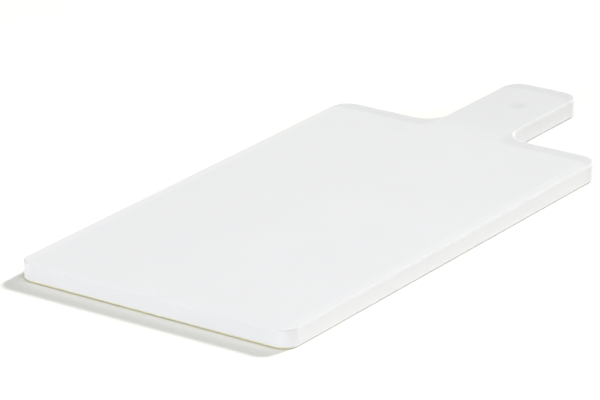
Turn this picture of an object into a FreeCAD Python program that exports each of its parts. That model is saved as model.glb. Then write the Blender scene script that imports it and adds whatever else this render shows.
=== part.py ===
import FreeCAD, Part
import os

import Sketcher

# Handled cutting board: one thick translucent plastic plate that stands on four low silicone feet.
#
# Millimetres, +Z up, +Y towards the handle. The origin is at the centre of the overall length
# and width, on the surface that the feet stand on. The plate's own underside is foot_stand_out
# above that surface.

DIMENSIONS = (
    ("body_length", 301.0, "plate without its handle, along Y"),
    ("body_width", 175.0, "plate, along X"),
    ("thickness", 10.3, "plate and handle, the same all over"),
    ("handle_length", 84.0, "from the plate's rear edge to the handle's end"),
    ("handle_width", 47.0, "handle, along X"),
    ("front_corner_radius", 9.0, "plan radius of the two corners away from the handle"),
    ("rear_corner_radius", 11.0, "plan radius of the two corners beside the handle"),
    ("handle_root_radius", 14.0, "plan radius of the two inside corners"),
    ("handle_end_radius", 11.0, "plan radius of the handle's two outer corners"),
    ("top_rim_radius", 1.0, "rounding of the rim round the cutting face"),
    ("bottom_rim_radius", 0.5, "rounding of the rim round the underside"),
    ("hole_diameter", 9.0, "blind hanging hole in the handle's underside"),
    ("hole_depth", 6.3, "leaves a skin of thickness - hole_depth above it"),
    ("hole_from_end", 33.0, "hole's axis to the handle's end"),
    ("hole_chamfer", 0.5, "broken edge at the hole's mouth"),
    ("foot_diameter", 10.0, "silicone foot"),
    ("foot_height", 2.0, "whole foot, with the part inside its recess"),
    ("foot_stand_out", 0.5, "foot's height below the plate's underside"),
    ("foot_inset", 20.0, "foot's axis to the plate's two nearest edges"),
    ("foot_rim_radius", 0.3, "rounding of the foot's lower rim"),
    ("cup_diameter", 5.0, "shallow cup in the foot's underside"),
    ("cup_depth", 0.3, "depth of that cup"),
    ("recess_gap", 0.05, "radial room between a foot and its recess"),
)
SIZE = {name: value for name, value, note in DIMENSIONS}
HALF_LENGTH = "(dimensions.body_length + dimensions.handle_length) / 2"
EDGE_MATCH = 0.01

# How a sketch constraint names a line's or a circle's points, and the sketch's own two axes.
# The origin is the start point of the X axis.
START, END, CENTRE = 1, 2, 3
X_AXIS, Y_AXIS = -1, -2

# Foot name, side of the centre line it stands on (X), and end of the plate it stands at (Y).
FEET = (
    ("foot_front_left", -1, -1),
    ("foot_front_right", 1, -1),
    ("foot_rear_left", -1, 1),
    ("foot_rear_right", 1, 1),
)


def make_sheet(doc):
    """Spreadsheet with one driving dimension per row: name, value, meaning."""
    sheet = doc.addObject("Spreadsheet::Sheet", "dimensions")
    for row, (name, value, note) in enumerate(DIMENSIONS, 1):
        sheet.set(f"A{row}", name)
        sheet.set(f"B{row}", str(value))
        sheet.setAlias(f"B{row}", name)
        sheet.set(f"C{row}", note)
    doc.recompute()


def make_body(doc, name):
    body = doc.addObject("PartDesign::Body", name)
    body.Label = name
    return body


def make_sketch(body, name):
    """Sketch on the body's own XY plane."""
    sketch = body.newObject("Sketcher::SketchObject", name)
    ground = next(f for f in body.Origin.OriginFeatures if f.Role == "XY_Plane")
    sketch.AttachmentSupport = [(ground, "")]
    sketch.MapMode = "FlatFace"
    return sketch


def add_size(sketch, kind, places, value, name, expression):
    """Named dimension in a sketch, bound to the spreadsheet."""
    number = sketch.addConstraint(Sketcher.Constraint(kind, *places, value))
    sketch.renameConstraint(number, name)
    sketch.setExpression(f"Constraints.{name}", expression)


def add_circle(sketch, name, x_size, y_size, diameter_size):
    """Circle at a signed place. Each size is a pair of a value and its expression."""
    centre = FreeCAD.Vector(x_size[0], y_size[0], 0)
    circle = sketch.addGeometry(Part.Circle(centre, FreeCAD.Vector(0, 0, 1), diameter_size[0] / 2))
    add_size(sketch, "Diameter", (circle,), diameter_size[0], f"{name}_diameter", diameter_size[1])
    places = (("DistanceX", "x", x_size, Y_AXIS), ("DistanceY", "y", y_size, X_AXIS))
    for kind, axis, (value, expression), centre_line in places:
        if value == 0:
            sketch.addConstraint(Sketcher.Constraint("PointOnObject", circle, CENTRE, centre_line))
        elif value > 0:
            ends = (X_AXIS, START, circle, CENTRE)
            add_size(sketch, kind, ends, value, f"{name}_{axis}", expression)
        else:
            ends = (circle, CENTRE, X_AXIS, START)
            add_size(sketch, kind, ends, -value, f"{name}_{axis}", f"-({expression})")


def add_pad(body, sketch, name, length):
    pad = body.newObject("PartDesign::Pad", name)
    pad.Profile = sketch
    pad.setExpression("Length", length)
    body.Document.recompute()


def add_pocket(body, sketch, name, depth):
    """Cut upwards from the body's underside, with a test that it takes material away."""
    before = body.Shape.Volume
    pocket = body.newObject("PartDesign::Pocket", name)
    pocket.Profile = sketch
    pocket.Reversed = True
    pocket.setExpression("Length", depth)
    body.Document.recompute()
    if body.Shape.Volume >= before:
        raise RuntimeError(f"{name} cuts nothing")


def edge_names(shape, wanted):
    """Names of the edges that the test picks."""
    names = [f"Edge{number}" for number, edge in enumerate(shape.Edges, 1) if wanted(edge)]
    if not names:
        raise RuntimeError("no edge matches")
    return names


def dress_edges(body, kind, name, wanted, size_property, size):
    """Fillet or chamfer on the picked edges of the body's last feature."""
    base = body.Tip
    feature = body.newObject(kind, name)
    feature.Base = (base, edge_names(base.Shape, wanted))
    feature.setExpression(size_property, size)
    body.Document.recompute()


def stands_at(x, y):
    """Test for an upright edge at plus or minus x, and at y."""

    def test(edge):
        middle = edge.CenterOfMass
        upright = edge.BoundBox.ZLength > SIZE["thickness"] / 2
        return upright and abs(abs(middle.x) - x) < EDGE_MATCH and abs(middle.y - y) < EDGE_MATCH

    return test


def lies_at(height):
    """Test for an edge that lies flat at the height."""

    def test(edge):
        box = edge.BoundBox
        return box.ZLength < EDGE_MATCH and abs(box.ZMin - height) < EDGE_MATCH

    return test


def draw_outline(sketch):
    """Plate and handle outline with sharp corners, symmetric about the Y axis."""
    half_width = SIZE["body_width"] / 2
    half_handle = SIZE["handle_width"] / 2
    front = -(SIZE["body_length"] + SIZE["handle_length"]) / 2
    rear = front + SIZE["body_length"]
    end = rear + SIZE["handle_length"]
    points = (
        (-half_width, front),
        (half_width, front),
        (half_width, rear),
        (half_handle, rear),
        (half_handle, end),
        (-half_handle, end),
        (-half_handle, rear),
        (-half_width, rear),
    )
    count = len(points)
    for number, (x, y) in enumerate(points):
        next_x, next_y = points[(number + 1) % count]
        line = Part.LineSegment(FreeCAD.Vector(x, y, 0), FreeCAD.Vector(next_x, next_y, 0))
        sketch.addGeometry(line)
    for number in range(count):
        level = "Horizontal" if number % 2 == 0 else "Vertical"
        next_line = (number + 1) % count
        sketch.addConstraint(Sketcher.Constraint("Coincident", number, END, next_line, START))
        sketch.addConstraint(Sketcher.Constraint(level, number))
    sketch.addConstraint(Sketcher.Constraint("Equal", 1, 7))
    sizes = (
        ("DistanceX", (0, START, 0, END), 2 * half_width, "width", "body_width"),
        ("DistanceX", (X_AXIS, START, 0, END), half_width, "half_width", "body_width / 2"),
        ("DistanceX", (4, END, 4, START), 2 * half_handle, "handle", "handle_width"),
        ("DistanceX", (X_AXIS, START, 4, START), half_handle, "half_handle", "handle_width / 2"),
        ("DistanceY", (1, START, 1, END), rear - front, "plate_length", "body_length"),
        ("DistanceY", (3, START, 3, END), end - rear, "handle_reach", "handle_length"),
    )
    for kind, places, value, name, alias in sizes:
        add_size(sketch, kind, places, value, name, f"dimensions.{alias}")
    add_size(sketch, "DistanceY", (0, END, X_AXIS, START), -front, "front", HALF_LENGTH)


def foot_place(side, end):
    """A foot's X and Y, each as a value and its expression."""
    front = -(SIZE["body_length"] + SIZE["handle_length"]) / 2
    x = side * (SIZE["body_width"] / 2 - SIZE["foot_inset"])
    x_text = f"{side} * (dimensions.body_width / 2 - dimensions.foot_inset)"
    if end < 0:
        y = front + SIZE["foot_inset"]
        y_text = f"dimensions.foot_inset - {HALF_LENGTH}"
    else:
        y = front + SIZE["body_length"] - SIZE["foot_inset"]
        y_text = f"dimensions.body_length - dimensions.foot_inset - {HALF_LENGTH}"
    return (x, x_text), (y, y_text)


def make_board(doc):
    """The plate with its handle: outline, rounded corners and rims, hanging hole, foot recesses."""
    body = make_body(doc, "board")
    outline = make_sketch(body, "board_outline")
    draw_outline(outline)
    add_pad(body, outline, "plate", "dimensions.thickness")

    half_width = SIZE["body_width"] / 2
    half_handle = SIZE["handle_width"] / 2
    end = (SIZE["body_length"] + SIZE["handle_length"]) / 2
    rear = end - SIZE["handle_length"]
    corners = (
        ("front_corner", half_width, -end),
        ("rear_corner", half_width, rear),
        ("handle_root", half_handle, rear),
        ("handle_end", half_handle, end),
    )
    for name, x, y in corners:
        radius = f"dimensions.{name}_radius"
        dress_edges(body, "PartDesign::Fillet", f"{name}s", stands_at(x, y), "Radius", radius)
    for name, height in (("top_rim", SIZE["thickness"]), ("bottom_rim", 0)):
        radius = f"dimensions.{name}_radius"
        dress_edges(body, "PartDesign::Fillet", name, lies_at(height), "Radius", radius)

    hole_sketch = make_sketch(body, "hanging_hole_outline")
    hole_y = (end - SIZE["hole_from_end"], f"{HALF_LENGTH} - dimensions.hole_from_end")
    hole_size = (SIZE["hole_diameter"], "dimensions.hole_diameter")
    add_circle(hole_sketch, "hole", (0, ""), hole_y, hole_size)
    add_pocket(body, hole_sketch, "hanging_hole", "dimensions.hole_depth")

    def hole_mouth(edge):
        centre = edge.CenterOfMass
        return lies_at(0)(edge) and abs(centre.y - hole_y[0]) < EDGE_MATCH and abs(centre.x) < EDGE_MATCH

    mouth_size = "dimensions.hole_chamfer"
    dress_edges(body, "PartDesign::Chamfer", "hanging_hole_mouth", hole_mouth, "Size", mouth_size)

    recess_sketch = make_sketch(body, "foot_recess_outlines")
    recess_size = (
        SIZE["foot_diameter"] + 2 * SIZE["recess_gap"],
        "dimensions.foot_diameter + 2 * dimensions.recess_gap",
    )
    for name, side, plate_end in FEET:
        add_circle(recess_sketch, name, *foot_place(side, plate_end), recess_size)
    depth = "dimensions.foot_height - dimensions.foot_stand_out"
    add_pocket(body, recess_sketch, "foot_recesses", depth)
    body.setExpression("Placement.Base.z", "dimensions.foot_stand_out")
    return body


def make_foot(doc, name, side, end):
    """Silicone disc with a rounded lower rim and a shallow cup that grips the worktop."""
    body = make_body(doc, name)
    disc = make_sketch(body, f"{name}_disc_outline")
    add_circle(disc, "disc", (0, ""), (0, ""), (SIZE["foot_diameter"], "dimensions.foot_diameter"))
    add_pad(body, disc, f"{name}_disc", "dimensions.foot_height")
    rim_size = "dimensions.foot_rim_radius"
    dress_edges(body, "PartDesign::Fillet", f"{name}_rim", lies_at(0), "Radius", rim_size)
    cup = make_sketch(body, f"{name}_cup_outline")
    add_circle(cup, "cup", (0, ""), (0, ""), (SIZE["cup_diameter"], "dimensions.cup_diameter"))
    add_pocket(body, cup, f"{name}_cup", "dimensions.cup_depth")
    (x, x_text), (y, y_text) = foot_place(side, end)
    body.setExpression("Placement.Base.x", x_text)
    body.setExpression("Placement.Base.y", y_text)
    return body


def check(doc, bodies):
    """Stop if any object failed or any sub-part has no valid single solid."""
    for item in doc.Objects:
        if "Invalid" in item.State or "Error" in item.State:
            raise RuntimeError(f"{item.Label} failed: {item.State}")
    for body in bodies:
        shape = body.Shape
        if shape.isNull() or not shape.isValid() or len(shape.Solids) != 1:
            raise RuntimeError(f"{body.Label} isn't one valid solid")


def main():
    doc = FreeCAD.newDocument("cutting_board")
    make_sheet(doc)
    bodies = [make_board(doc)]
    for name, side, end in FEET:
        bodies.append(make_foot(doc, name, side, end))
    doc.recompute()
    check(doc, bodies)
    os.makedirs("parts", exist_ok=True)
    for body in bodies:
        body.Shape.exportStep(os.path.join("parts", f"{body.Label}.step"))
        box = body.Shape.BoundBox
        print(f"{body.Label}: {body.Shape.Volume:.1f} mm3, {box}")


main()
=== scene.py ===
import math

import bpy
from mathutils import Matrix, Vector


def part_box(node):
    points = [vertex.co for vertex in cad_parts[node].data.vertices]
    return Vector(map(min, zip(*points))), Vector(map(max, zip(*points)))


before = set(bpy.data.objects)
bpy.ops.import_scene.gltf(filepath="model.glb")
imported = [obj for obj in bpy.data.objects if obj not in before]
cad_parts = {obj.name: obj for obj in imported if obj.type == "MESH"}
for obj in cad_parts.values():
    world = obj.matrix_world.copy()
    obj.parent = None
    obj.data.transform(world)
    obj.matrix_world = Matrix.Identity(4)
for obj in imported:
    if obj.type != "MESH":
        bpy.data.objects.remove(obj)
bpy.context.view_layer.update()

BOARD_LOW, BOARD_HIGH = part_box("board")
FEET = sorted(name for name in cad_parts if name.startswith("foot_"))

# The board's outline in plan: centre, half sizes and corner radius of the body and of the handle.
# The handle's rectangle starts inside the body, and the two are blended at the handle's roots.
BODY_LENGTH = 0.301
BODY_CORNER = 0.010
BODY_BACK = BOARD_LOW.y + BODY_LENGTH
HANDLE_WIDTH = 0.047
HANDLE_CORNER = 0.011
HANDLE_START = BODY_BACK - 0.020
BODY_OUTLINE = (
    (0.0, (BOARD_LOW.y + BODY_BACK) / 2),
    (BOARD_HIGH.x, BODY_LENGTH / 2),
    BODY_CORNER,
)
HANDLE_OUTLINE = (
    (0.0, (HANDLE_START + BOARD_HIGH.y) / 2),
    (HANDLE_WIDTH / 2, (BOARD_HIGH.y - HANDLE_START) / 2),
    HANDLE_CORNER,
)
ROOT_BLEND = 0.016

# Linear colours of the milky plastic: its own two tones, which drift into each other, a darker
# tone for painted shade, lighter tones for painted light on the long sides, the lower part of the
# edges and the front corners, and an olive painted shadow on the front edge's lower rim.
OPAL = (0.699, 0.699, 0.699)
OPAL_CLOUDED = (0.711, 0.711, 0.711)
OPAL_SHADED = (0.601, 0.601, 0.601)
OPAL_LIT = (0.720, 0.720, 0.720)
OPAL_PAINTED_LOW_LIGHT = (0.751, 0.752, 0.760)
OPAL_PAINTED_CORNER_LIGHT = (0.790, 0.790, 0.790)
OLIVE_SHADOW_TINT = (0.700, 0.675, 0.430)

# Where each tint lies. A span runs from where the tint starts to where it has its full strength.
# The darker tone is painted shade on the top beside the edges that face the handle's end, and
# above the blind hole, moved sideways as the plastic in between would move it.
EDGE_SHADE_WIDTH = 0.0095
EDGE_SHADE_SPAN = (-0.002, 0.002)
EDGE_SHADE_STRENGTH = 0.44
HOLE_SHADE_PLACE = (0.0021, BOARD_HIGH.y - 0.0354, 0.0)
HOLE_SHADE_SPAN = (0.0075, 0.0010)
HOLE_SHADE_STRENGTH = 0.68
# Painted shade that darkens the handle.
HANDLE_SHADE_SPAN = (BODY_BACK - 0.020, BODY_BACK + 0.030)
HANDLE_SHADE_STRENGTH = 0.26
# Painted light along the plate's two long sides.
SIDE_LIGHT_SPAN = (BOARD_HIGH.x - 0.0075, BOARD_HIGH.x - 0.0045)
# Painted shadow: an olive tint on the lower rim of the front edge.
OLIVE_SHADOW_HEIGHT_SPAN = (BOARD_LOW.z + 0.0010, BOARD_LOW.z + 0.0006)
OLIVE_SHADOW_FRONT_SPAN = (BOARD_LOW.y + 0.006, BOARD_LOW.y + 0.002)

# Painted shade: the top rim is darker all round, and darker still where it faces a side or the
# handle's end.
RIM_HEIGHT = 0.001
RIM_FOOT_SPAN = (BOARD_HIGH.z - 3.0 * RIM_HEIGHT, BOARD_HIGH.z - 0.8 * RIM_HEIGHT)
RIM_HEAD_SPAN = (BOARD_HIGH.z, BOARD_HIGH.z - 0.2 * RIM_HEIGHT)
RIM_SHADE_STRENGTH = 0.05
SIDE_RIM_SPAN = (BOARD_HIGH.z - 1.2 * RIM_HEIGHT, BOARD_HIGH.z - 0.5 * RIM_HEIGHT)
SIDE_RIM_FACING_SPAN = (0.1, 0.5)
SIDE_RIM_SHADE_STRENGTH = 0.75

# Painted light: below the top rim, the edges get lighter all the way down.
LOW_LIGHT_SPAN = (BOARD_HIGH.z - RIM_HEIGHT, BOARD_LOW.z)

# Painted light: the front corners are lighter where they face more to the side than to the front.
CORNER_FRONT_SPAN = (-0.60, -0.30)
CORNER_SIDE_SPAN = (-0.02, -0.20)
CORNER_SIDEWAYS_SPAN = (0.6, 0.9)
CORNER_LIGHT_STRENGTH = 0.5

# The plastic's scattering depth, gloss and grain. The noises are given as scale and detail.
SCATTER_DEPTH = 0.0025
PLASTIC_IOR = 1.49
PLASTIC_SPECULAR = 0.03
PLASTIC_ROUGHNESS = (0.60, 0.68)
CLOUD_NOISE = (18.0, 3.0)
ROUGHNESS_NOISE = (400.0, 3.0)
GRAIN_NOISE = (1500.0, 2.0)
GRAIN_STRENGTH = 0.05
GRAIN_DEPTH = 0.0001
NOISE_SPAN = (0.3, 0.7)

SILICONE = (0.66, 0.66, 0.64)
SILICONE_CLOUDED = (0.72, 0.72, 0.70)
SILICONE_ROUGHNESS = (0.55, 0.70)
SILICONE_CLOUD_NOISE = (700.0, 3.0)
SILICONE_ROUGHNESS_NOISE = (1200.0, 2.0)

FLOOR_SIZE = 8.0
FLOOR_COLOUR = (0.97, 0.965, 0.91)
FLOOR_ROUGHNESS = 0.8

# Camera: direction of view, roll about it, distance to the point looked at, and a long lens.
VIEW_AZIMUTH = math.radians(35.44)
VIEW_ELEVATION = math.radians(21.03)
VIEW_ROLL = math.radians(-0.54)
VIEW_DISTANCE = 2.260
LOOK_AT = Vector((-0.0301, -0.0162, BOARD_HIGH.z - 0.010))
LENS = 246.0
SENSOR_WIDTH = 36.0
CLIP_START, CLIP_END = 0.05, 50.0

# Lights: name, direction from the board, distance, width, height, power in watts and colour.
WHITE = (1.0, 1.0, 1.0)
COOL = (0.93, 0.95, 1.0)
LIGHTS = (
    ("key", (0.22, 0.80, 0.59), 10.0, 1.6, 1.6, 990.0, WHITE),
    ("front", (-0.30, -0.90, 0.20), 2.5, 2.0, 0.8, 31.0, COOL),
    ("right", (0.90, -0.55, 0.40), 2.5, 1.5, 1.0, 19.7, COOL),
    ("pool", (0.22, -0.33, 1.00), 0.50, 0.3, 0.3, 0.153, WHITE),
)
SKY = 0.338


def add_camera():
    data = bpy.data.cameras.new("camera")
    data.lens = LENS
    data.sensor_width = SENSOR_WIDTH
    data.clip_start = CLIP_START
    data.clip_end = CLIP_END
    camera = bpy.data.objects.new("camera", data)
    bpy.context.scene.collection.objects.link(camera)
    level = math.cos(VIEW_ELEVATION)
    back = Vector((
        math.sin(VIEW_AZIMUTH) * level,
        -math.cos(VIEW_AZIMUTH) * level,
        math.sin(VIEW_ELEVATION),
    ))
    turn = (-back).to_track_quat("-Z", "Y").to_matrix()
    roll = Matrix.Rotation(VIEW_ROLL, 3, back)
    camera.matrix_world = Matrix.LocRotScale(LOOK_AT + back * VIEW_DISTANCE, roll @ turn, None)
    bpy.context.scene.camera = camera


def add_light(name, direction, distance, width, height, power, colour):
    data = bpy.data.lights.new(name, "AREA")
    data.shape = "RECTANGLE"
    data.size = width
    data.size_y = height
    data.energy = power
    data.color = colour
    light = bpy.data.objects.new(name, data)
    back = Vector(direction).normalized()
    light.matrix_world = Matrix.LocRotScale(back * distance, back.to_track_quat("Z", "Y"), None)
    bpy.context.scene.collection.objects.link(light)


def new_material(name):
    """A material with its node tree and its Principled shader."""
    material = bpy.data.materials.new(name)
    material.use_nodes = True
    return material, material.node_tree, material.node_tree.nodes["Principled BSDF"]


def add_noise(tree, coordinates, scale, detail):
    noise = tree.nodes.new("ShaderNodeTexNoise")
    noise.inputs["Scale"].default_value = scale
    noise.inputs["Detail"].default_value = detail
    tree.links.new(coordinates, noise.inputs["Vector"])
    return noise.outputs["Fac"]


def add_ramp(tree, factor, span, ends=(0.0, 1.0), smooth=False):
    """A number that runs between two ends as the factor crosses a span."""
    ramp = tree.nodes.new("ShaderNodeMapRange")
    ramp.interpolation_type = "SMOOTHSTEP" if smooth else "LINEAR"
    ramp.inputs["From Min"].default_value, ramp.inputs["From Max"].default_value = span
    ramp.inputs["To Min"].default_value, ramp.inputs["To Max"].default_value = ends
    tree.links.new(factor, ramp.inputs["Value"])
    return ramp.outputs["Result"]


def add_blend(tree, factor, first, second):
    """A colour between two others. Each is a colour or a socket."""
    blend = tree.nodes.new("ShaderNodeMix")
    blend.data_type = "RGBA"
    tree.links.new(factor, blend.inputs["Factor"])
    for name, colour in (("A", first), ("B", second)):
        if isinstance(colour, tuple):
            blend.inputs[name].default_value = (*colour, 1.0)
        else:
            tree.links.new(colour, blend.inputs[name])
    return blend.outputs["Result"]


def add_math(tree, operation, first, second=0.0, third=0.0):
    """The result of a calculation. Each input is a number or a socket."""
    node = tree.nodes.new("ShaderNodeMath")
    node.operation = operation
    for socket, value in zip(node.inputs, (first, second, third)):
        if isinstance(value, float):
            socket.default_value = value
        else:
            tree.links.new(value, socket)
    return node.outputs["Value"]


def add_vector_math(tree, operation, first, second=None):
    """The result of a calculation with a vector's socket and, where one is given, a vector."""
    node = tree.nodes.new("ShaderNodeVectorMath")
    node.operation = operation
    tree.links.new(first, node.inputs[0])
    if second is not None:
        node.inputs[1].default_value = second
    return node.outputs["Value" if operation == "LENGTH" else "Vector"]


def add_parts(tree, vector):
    """The X, Y and Z of a vector."""
    parts = tree.nodes.new("ShaderNodeSeparateXYZ")
    tree.links.new(vector, parts.inputs["Vector"])
    return parts.outputs["X"], parts.outputs["Y"], parts.outputs["Z"]


def add_outline_distance(tree, flat, centre, half, radius):
    """Distance from a rounded rectangle's outline, below zero inside it."""
    moved = add_vector_math(tree, "SUBTRACT", flat, (*centre, 0.0))
    away = add_vector_math(tree, "ABSOLUTE", moved)
    past = add_vector_math(tree, "SUBTRACT", away, (half[0] - radius, half[1] - radius, 0.0))
    past_corner = add_vector_math(tree, "MAXIMUM", past, (0.0, 0.0, 0.0))
    outside = add_vector_math(tree, "LENGTH", past_corner)
    past_x, past_y, _ = add_parts(tree, past)
    inside = add_math(tree, "MINIMUM", add_math(tree, "MAXIMUM", past_x, past_y), 0.0)
    return add_math(tree, "SUBTRACT", add_math(tree, "ADD", outside, inside), radius)


def add_edge_shade(tree, flat):
    """Shade on what lies close in front of an edge that faces the handle's end."""
    ahead = add_vector_math(tree, "ADD", flat, (0.0, EDGE_SHADE_WIDTH, 0.0))
    body = add_outline_distance(tree, ahead, *BODY_OUTLINE)
    handle = add_outline_distance(tree, ahead, *HANDLE_OUTLINE)
    outline = add_math(tree, "SMOOTH_MIN", body, handle, ROOT_BLEND)
    return add_ramp(tree, outline, EDGE_SHADE_SPAN, (0.0, EDGE_SHADE_STRENGTH), smooth=True)


def add_hole_shade(tree, flat):
    """A soft round spot of painted shade above the blind hole."""
    moved = add_vector_math(tree, "SUBTRACT", flat, HOLE_SHADE_PLACE)
    distance = add_vector_math(tree, "LENGTH", moved)
    return add_ramp(tree, distance, HOLE_SHADE_SPAN, (0.0, HOLE_SHADE_STRENGTH), smooth=True)


# Painted shade on the top rim.
def add_rim_shade(tree, height, sideways, facing_y):
    rim = add_math(
        tree,
        "MULTIPLY",
        add_ramp(tree, height, RIM_FOOT_SPAN),
        add_ramp(tree, height, RIM_HEAD_SPAN),
    )
    facing = add_math(tree, "MAXIMUM", sideways, facing_y)
    side_rim = add_math(
        tree,
        "MULTIPLY",
        add_ramp(tree, height, SIDE_RIM_SPAN),
        add_ramp(tree, facing, SIDE_RIM_FACING_SPAN, (0.0, SIDE_RIM_SHADE_STRENGTH)),
    )
    return add_math(tree, "MULTIPLY_ADD", rim, RIM_SHADE_STRENGTH, side_rim)


# Painted light on the front corners.
def add_corner_light(tree, sideways, facing_y):
    corner = add_math(
        tree,
        "MULTIPLY",
        add_ramp(tree, facing_y, CORNER_FRONT_SPAN),
        add_ramp(tree, facing_y, CORNER_SIDE_SPAN),
    )
    strength = add_ramp(tree, sideways, CORNER_SIDEWAYS_SPAN, (0.0, CORNER_LIGHT_STRENGTH))
    return add_math(tree, "MULTIPLY", corner, strength)


def opal_plastic():
    """Milky plastic. Light scatters inside it; painted shade and light stand in for edges and the
    hole showing through the top and for how light falls on it.
    """
    material, tree, shader = new_material("opal_plastic_look")
    coordinates = tree.nodes.new("ShaderNodeTexCoord")
    where = coordinates.outputs["Object"]
    flat = add_vector_math(tree, "MULTIPLY", where, (1.0, 1.0, 0.0))
    across, along, height = add_parts(tree, where)
    facing_x, facing_y, _ = add_parts(tree, coordinates.outputs["Normal"])
    sideways = add_math(tree, "ABSOLUTE", facing_x)

    cloud = add_ramp(tree, add_noise(tree, where, *CLOUD_NOISE), NOISE_SPAN)
    side_light = add_ramp(
        tree, add_math(tree, "ABSOLUTE", across), SIDE_LIGHT_SPAN, smooth=True
    )
    handle_shade = add_ramp(
        tree, along, HANDLE_SHADE_SPAN, (0.0, HANDLE_SHADE_STRENGTH), smooth=True
    )
    # Mask of the painted olive shadow on the front edge's lower rim.
    olive_shadow = add_math(
        tree,
        "MULTIPLY",
        add_ramp(tree, height, OLIVE_SHADOW_HEIGHT_SPAN),
        add_ramp(tree, along, OLIVE_SHADOW_FRONT_SPAN),
    )

    colour = add_blend(tree, cloud, OPAL, OPAL_CLOUDED)
    # Painted light and shade laid over the plastic's own tones.
    for strength, tint in (
        (side_light, OPAL_LIT),
        (add_ramp(tree, height, LOW_LIGHT_SPAN), OPAL_PAINTED_LOW_LIGHT),
        (add_corner_light(tree, sideways, facing_y), OPAL_PAINTED_CORNER_LIGHT),
        (handle_shade, OPAL_SHADED),
        (add_rim_shade(tree, height, sideways, facing_y), OPAL_SHADED),
        (olive_shadow, OLIVE_SHADOW_TINT),
        (add_edge_shade(tree, flat), OPAL_SHADED),
        (add_hole_shade(tree, flat), OPAL_SHADED),
    ):
        colour = add_blend(tree, strength, colour, tint)
    tree.links.new(colour, shader.inputs["Base Color"])

    shader.inputs["Subsurface Weight"].default_value = 1.0
    shader.inputs["Subsurface Radius"].default_value = (1.0, 1.0, 1.0)
    shader.inputs["Subsurface Scale"].default_value = SCATTER_DEPTH
    shader.inputs["IOR"].default_value = PLASTIC_IOR
    shader.inputs["Specular IOR Level"].default_value = PLASTIC_SPECULAR
    roughness_noise = add_noise(tree, where, *ROUGHNESS_NOISE)
    rough = add_ramp(tree, roughness_noise, NOISE_SPAN, PLASTIC_ROUGHNESS)
    tree.links.new(rough, shader.inputs["Roughness"])
    bump = tree.nodes.new("ShaderNodeBump")
    bump.inputs["Strength"].default_value = GRAIN_STRENGTH
    bump.inputs["Distance"].default_value = GRAIN_DEPTH
    tree.links.new(add_noise(tree, where, *GRAIN_NOISE), bump.inputs["Height"])
    tree.links.new(bump.outputs["Normal"], shader.inputs["Normal"])
    return material


def silicone():
    material, tree, shader = new_material("silicone_foot_look")
    where = tree.nodes.new("ShaderNodeTexCoord").outputs["Object"]
    cloud = add_ramp(tree, add_noise(tree, where, *SILICONE_CLOUD_NOISE), NOISE_SPAN)
    colour = add_blend(tree, cloud, SILICONE, SILICONE_CLOUDED)
    tree.links.new(colour, shader.inputs["Base Color"])
    roughness_noise = add_noise(tree, where, *SILICONE_ROUGHNESS_NOISE)
    rough = add_ramp(tree, roughness_noise, NOISE_SPAN, SILICONE_ROUGHNESS)
    tree.links.new(rough, shader.inputs["Roughness"])
    return material


def floor_material():
    material, _, shader = new_material("floor")
    shader.inputs["Base Color"].default_value = (*FLOOR_COLOUR, 1.0)
    shader.inputs["Roughness"].default_value = FLOOR_ROUGHNESS
    shader.inputs["Specular IOR Level"].default_value = 0.0
    return material


def add_floor():
    half = FLOOR_SIZE / 2
    corners = [(-half, -half, 0), (half, -half, 0), (half, half, 0), (-half, half, 0)]
    mesh = bpy.data.meshes.new("floor")
    mesh.from_pydata(corners, [], [(0, 1, 2, 3)])
    mesh.materials.append(floor_material())
    floor = bpy.data.objects.new("floor", mesh)
    bpy.context.scene.collection.objects.link(floor)


def set_material(name, material):
    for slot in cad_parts[name].material_slots:
        slot.material = material


def add_world():
    world = bpy.data.worlds.new("studio")
    world.use_nodes = True
    sky = world.node_tree.nodes["Background"]
    sky.inputs["Color"].default_value = (*WHITE, 1.0)
    sky.inputs["Strength"].default_value = SKY
    bpy.context.scene.world = world
    bpy.context.scene.view_settings.view_transform = "Standard"


add_camera()
add_world()
add_floor()
for light in LIGHTS:
    add_light(*light)
set_material("board", opal_plastic())
foot_material = silicone()
for foot in FEET:
    set_material(foot, foot_material)
